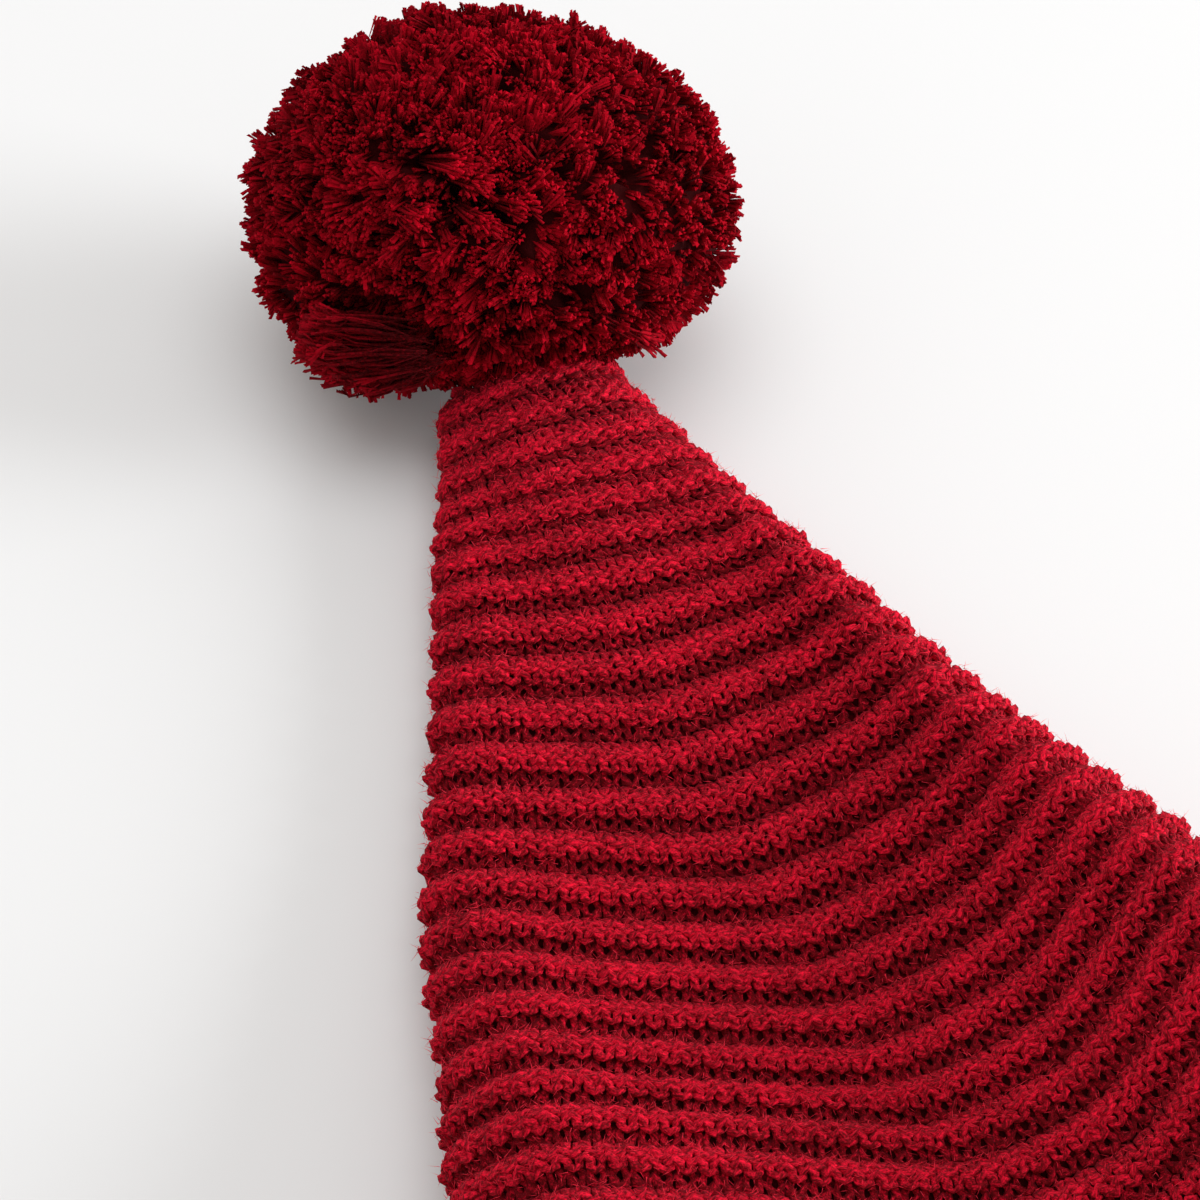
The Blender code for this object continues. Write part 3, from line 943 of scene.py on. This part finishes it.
def yarn_paint(name, colour, deep, map_name, sheen):
    """Spun wool: plies wound along the yarn, stray fibres, shades that differ from stitch to stitch, and
    painted shade in the valleys between welts.
    """
    p = Paint(name)
    uv = p.node("ShaderNodeUVMap", {"uv_map": map_name})
    parts = p.node("ShaderNodeSeparateXYZ", {}, uv.outputs[0])
    along = Value(p, parts.outputs[0])
    around = Value(p, parts.outputs[1])
    ply = ((around * 3.0 - along * 0.42) * (2 * np.pi)).sine() * 0.5 + 0.5
    wound = p.node("ShaderNodeCombineXYZ", {}, along * 1.3, (around - along * 0.14) * 9.0, 0.0).outputs[0]
    strand = p.value("ShaderNodeTexNoise", {}, wound, Scale=1.6, Detail=2.0, Roughness=0.6)
    where = p.node("ShaderNodeTexCoord", {}).outputs["Object"]
    fibre = p.value("ShaderNodeTexNoise", {}, where, Scale=2600.0, Detail=3.0, Roughness=0.6)
    cloud = p.value("ShaderNodeTexNoise", {}, where, Scale=90.0, Detail=2.0)
    shade = p.value("ShaderNodeAttribute", {"attribute_name": "shade"}, out=2)
    # Painted shade in the valleys between welts, read from the mark deep
    painted_valley_shade = p.value("ShaderNodeAttribute", {"attribute_name": "deep"}, out=2)
    light = (ply - 0.5) * 0.35 + (strand - 0.5) * 2.4 + (fibre - 0.5) * 1.5 + (cloud - 0.5) * 0.4
    light = (light + shade * 0.06 + 0.35 - painted_valley_shade * 0.42).clamped()
    p.set(Base_Color=p.mix(light, deep, colour), Roughness=0.88)
    p.set(Sheen_Weight=sheen, Sheen_Roughness=0.45, Specular_IOR_Level=0.12)
    p.shader.inputs["Sheen Tint"].default_value = (1.0, 0.06, 0.12, 1.0)
    height = ply * 0.6 + strand * 0.9 + fibre * 0.4
    bump = p.node("ShaderNodeBump", {}, Strength=0.9, Distance=0.0003, Height=height)
    p.set(Normal=bump.outputs[0])
    return p.material


def plain_wool(name, colour, deep, sheen):
    """Wool too fine or too deep to show its yarn."""
    p = Paint(name)
    where = p.node("ShaderNodeTexCoord", {}).outputs["Object"]
    fibre = p.value("ShaderNodeTexNoise", {}, where, Scale=1400.0, Detail=4.0, Roughness=0.65)
    p.set(Base_Color=p.mix(fibre, deep, colour), Roughness=0.92)
    p.set(Sheen_Weight=sheen, Sheen_Roughness=0.5, Specular_IOR_Level=0.08)
    p.shader.inputs["Sheen Tint"].default_value = (0.9, 0.06, 0.10, 1.0)
    bump = p.node("ShaderNodeBump", {}, Strength=0.8, Distance=0.0004, Height=fibre)
    p.set(Normal=bump.outputs[0])
    return p.material


def inside_rows(name, colour, deep):
    """The back of the knit: rows of loops seen from inside the hat, in colours painted dark as shade under
    the yarn.
    """
    p = Paint(name)
    where = p.node("ShaderNodeTexCoord", {}).outputs["Object"]
    fibre = p.value("ShaderNodeTexNoise", {}, where, Scale=1400.0, Detail=4.0, Roughness=0.65)
    loops = p.value("ShaderNodeTexNoise", {}, where, Scale=330.0, Detail=1.0)
    welt = p.value("ShaderNodeAttribute", {"attribute_name": "welt"}, out=2)
    rows = (welt * (10 * np.pi) + (loops - 0.5) * 3.0).sine() * 0.5 + 0.5
    light = (rows * 0.7 + (fibre - 0.5) * 0.8 + 0.05).clamped()
    p.set(Base_Color=p.mix(light, deep, colour), Roughness=0.92, Specular_IOR_Level=0.08)
    height = rows + fibre * 0.3
    bump = p.node("ShaderNodeBump", {}, Strength=0.9, Distance=0.0008, Height=height)
    p.set(Normal=bump.outputs[0])
    return p.material


def pile_wool(name, colour, deep):
    """Cut yarn, painted dark down in the pile as shade and bright at its ends."""
    p = Paint(name)
    where = p.node("ShaderNodeTexCoord", {}).outputs["Object"]
    fibre = p.value("ShaderNodeTexNoise", {}, where, Scale=1700.0, Detail=3.0, Roughness=0.65)
    lit = p.value("ShaderNodeAttribute", {"attribute_name": "lit"}, out=2)
    light = (lit * 0.75 + fibre * 0.9 - 0.50).clamped()
    p.set(Base_Color=p.mix(light, deep, colour), Roughness=0.9)
    p.set(Sheen_Weight=0.08, Sheen_Roughness=0.5, Specular_IOR_Level=0.06)
    p.shader.inputs["Sheen Tint"].default_value = (1.0, 0.03, 0.06, 1.0)
    bump = p.node("ShaderNodeBump", {}, Strength=0.8, Distance=0.0004, Height=fibre)
    p.set(Normal=bump.outputs[0])
    return p.material


def keep_piece(obj, material, node):
    """Gives a piece its wool, hangs it on the root body, and hides the node it stands for."""
    obj.data.materials.append(material)
    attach(obj, "root")
    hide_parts(node)
    return obj


def build_hat():
    """All the pieces of the hat."""
    surface = Surface(SURFACE_INSET)
    knit_yarn = yarn_paint("knit_yarn", *KNIT_COLOURS, "yarn", KNIT_SHEEN)
    # The inside's wool is painted dark as shade under the yarn
    inside_wool = inside_rows("knit_inside_shaded", *INSIDE_SHADE_COLOURS)
    ball_yarn = pile_wool("pompom_yarn", *POMPOM_COLOURS)
    # The core's wool is painted near black as shade deep in the pile
    core_shaded_wool = plain_wool("pompom_inside_shaded", *CORE_SHADE_COLOURS, 0.0)
    for name, (points, quads, maps, shade) in knit_crown(surface):
        # The mark deep carries painted shade in the valleys between welts
        obj = add_mesh(name, points, [quads], {"yarn": maps}, {"shade": shade[:, 0], "deep": shade[:, 1]})
        keep_piece(obj, knit_yarn, "crown")
    fibre_points, fibre_tris = knit_fibres(surface, FIBRE_COUNT)
    fibre_wool = plain_wool("knit_fibres", *FIBRE_COLOURS, FIBRE_SHEEN)
    keep_piece(add_mesh("crown_fibres", fibre_points, [fibre_tris]), fibre_wool, "crown")
    points, quads, tris, rows = make_backing(surface)
    backing = add_mesh("crown_inside", points, [quads, tris], marks={"welt": rows})
    keep_piece(backing, inside_wool, "crown")
    points, tris, lit = make_pile()
    pile = add_mesh("pompom_pile", points, [tris], marks={"lit": lit}, smooth=False)
    keep_piece(pile, ball_yarn, "pompom")
    points, quads, tris, lit = make_bundles()
    bundles = add_mesh("pompom_strands", points, [quads, tris], marks={"lit": lit})
    keep_piece(bundles, ball_yarn, "pompom")
    points, tris = make_core()
    keep_piece(add_mesh("pompom_core", points, [tris]), core_shaded_wool, "pompom")


def set_stage():
    """The white table and the light in the room."""
    scene = bpy.context.scene
    scene.view_settings.view_transform = "Standard"
    world = bpy.data.worlds.new("studio")
    world.use_nodes = True
    room = world.node_tree.nodes["Background"]
    room.inputs["Color"].default_value = ROOM_COLOUR
    room.inputs["Strength"].default_value = ROOM_STRENGTH
    scene.world = world
    bpy.ops.mesh.primitive_plane_add(size=TABLE_SIZE, location=(0, 0, 0))
    floor = bpy.context.object
    floor.name = "table"
    paint = Paint("table_white")
    paint.set(Base_Color=TABLE_COLOUR, Roughness=0.7)
    floor.data.materials.append(paint.material)
    for name, place, size, power in LAMPS:
        lamp = bpy.data.lights.new(name, "AREA")
        lamp.shape = "DISK"
        lamp.size = size
        lamp.energy = power
        lamp.color = LAMP_COLOUR
        obj = bpy.data.objects.new(name, lamp)
        obj.location = place
        obj.rotation_euler = (-Vector(place)).to_track_quat("-Z", "Y").to_euler()
        scene.collection.objects.link(obj)


def set_camera():
    """The view that the photograph has."""
    target = Vector((np.array(VIEW_TARGET) - SHIFT) * MM)
    back = Vector(VIEW_BACK)
    camera = bpy.data.cameras.new("photo")
    camera.lens = VIEW_LENS
    camera.sensor_width = VIEW_FILM
    camera.clip_end = 20.0
    obj = bpy.data.objects.new("photo", camera)
    obj.location = target + back * VIEW_DISTANCE * MM
    obj.rotation_euler = (-back).to_track_quat("-Z", "Y").to_euler()
    bpy.context.scene.collection.objects.link(obj)
    bpy.context.scene.camera = obj


set_stage()
set_camera()
build_hat()
